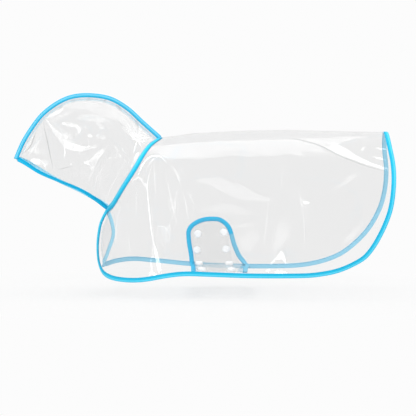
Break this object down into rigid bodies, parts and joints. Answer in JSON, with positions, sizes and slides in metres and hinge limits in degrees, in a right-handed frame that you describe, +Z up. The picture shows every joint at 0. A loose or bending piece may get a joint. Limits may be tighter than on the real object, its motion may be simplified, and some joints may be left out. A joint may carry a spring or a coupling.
{
  "type": "dog raincoat",
  "caption": "Clear hooded raincoat for a small dog with blue bound edges and a belly strap closed by snaps, in its worn form.",
  "frame": {"origin": "on the centre plane, at the back panel over the withers, where the wearer's back carries the coat", "axes": "+X along the back from the hood to the tail, +Y to the coat's right side, +Z up"},
  "size_m": [0.5706, 0.1887, 0.2804],
  "materials": {
    "clear_vinyl_film": "clear, glossy",
    "sky_blue_binding_tape": "woven tape, soft sheen",
    "white_resin_snap": "satin"
  },
  "bodies": {
    "root": {"body_panel": "clear_vinyl_film", "hood_left": "clear_vinyl_film", "hood_right": "clear_vinyl_film", "belly_strap": "clear_vinyl_film", "snap_reinforcement": "clear_vinyl_film", "neck_binding": "sky_blue_binding_tape", "edge_binding": "sky_blue_binding_tape", "face_binding_left": "sky_blue_binding_tape", "face_binding_right": "sky_blue_binding_tape", "crown_binding": "sky_blue_binding_tape", "strap_binding": "sky_blue_binding_tape", "strap_snap_1": "white_resin_snap", "strap_snap_2": "white_resin_snap", "strap_snap_3": "white_resin_snap", "strap_snap_4": "white_resin_snap", "strap_snap_5": "white_resin_snap", "strap_snap_6": "white_resin_snap", "strap_snap_7": "white_resin_snap", "strap_snap_8": "white_resin_snap", "side_snap_1": "white_resin_snap", "side_snap_2": "white_resin_snap", "side_snap_3": "white_resin_snap", "side_snap_4": "white_resin_snap"}
  },
  "joints": []
}
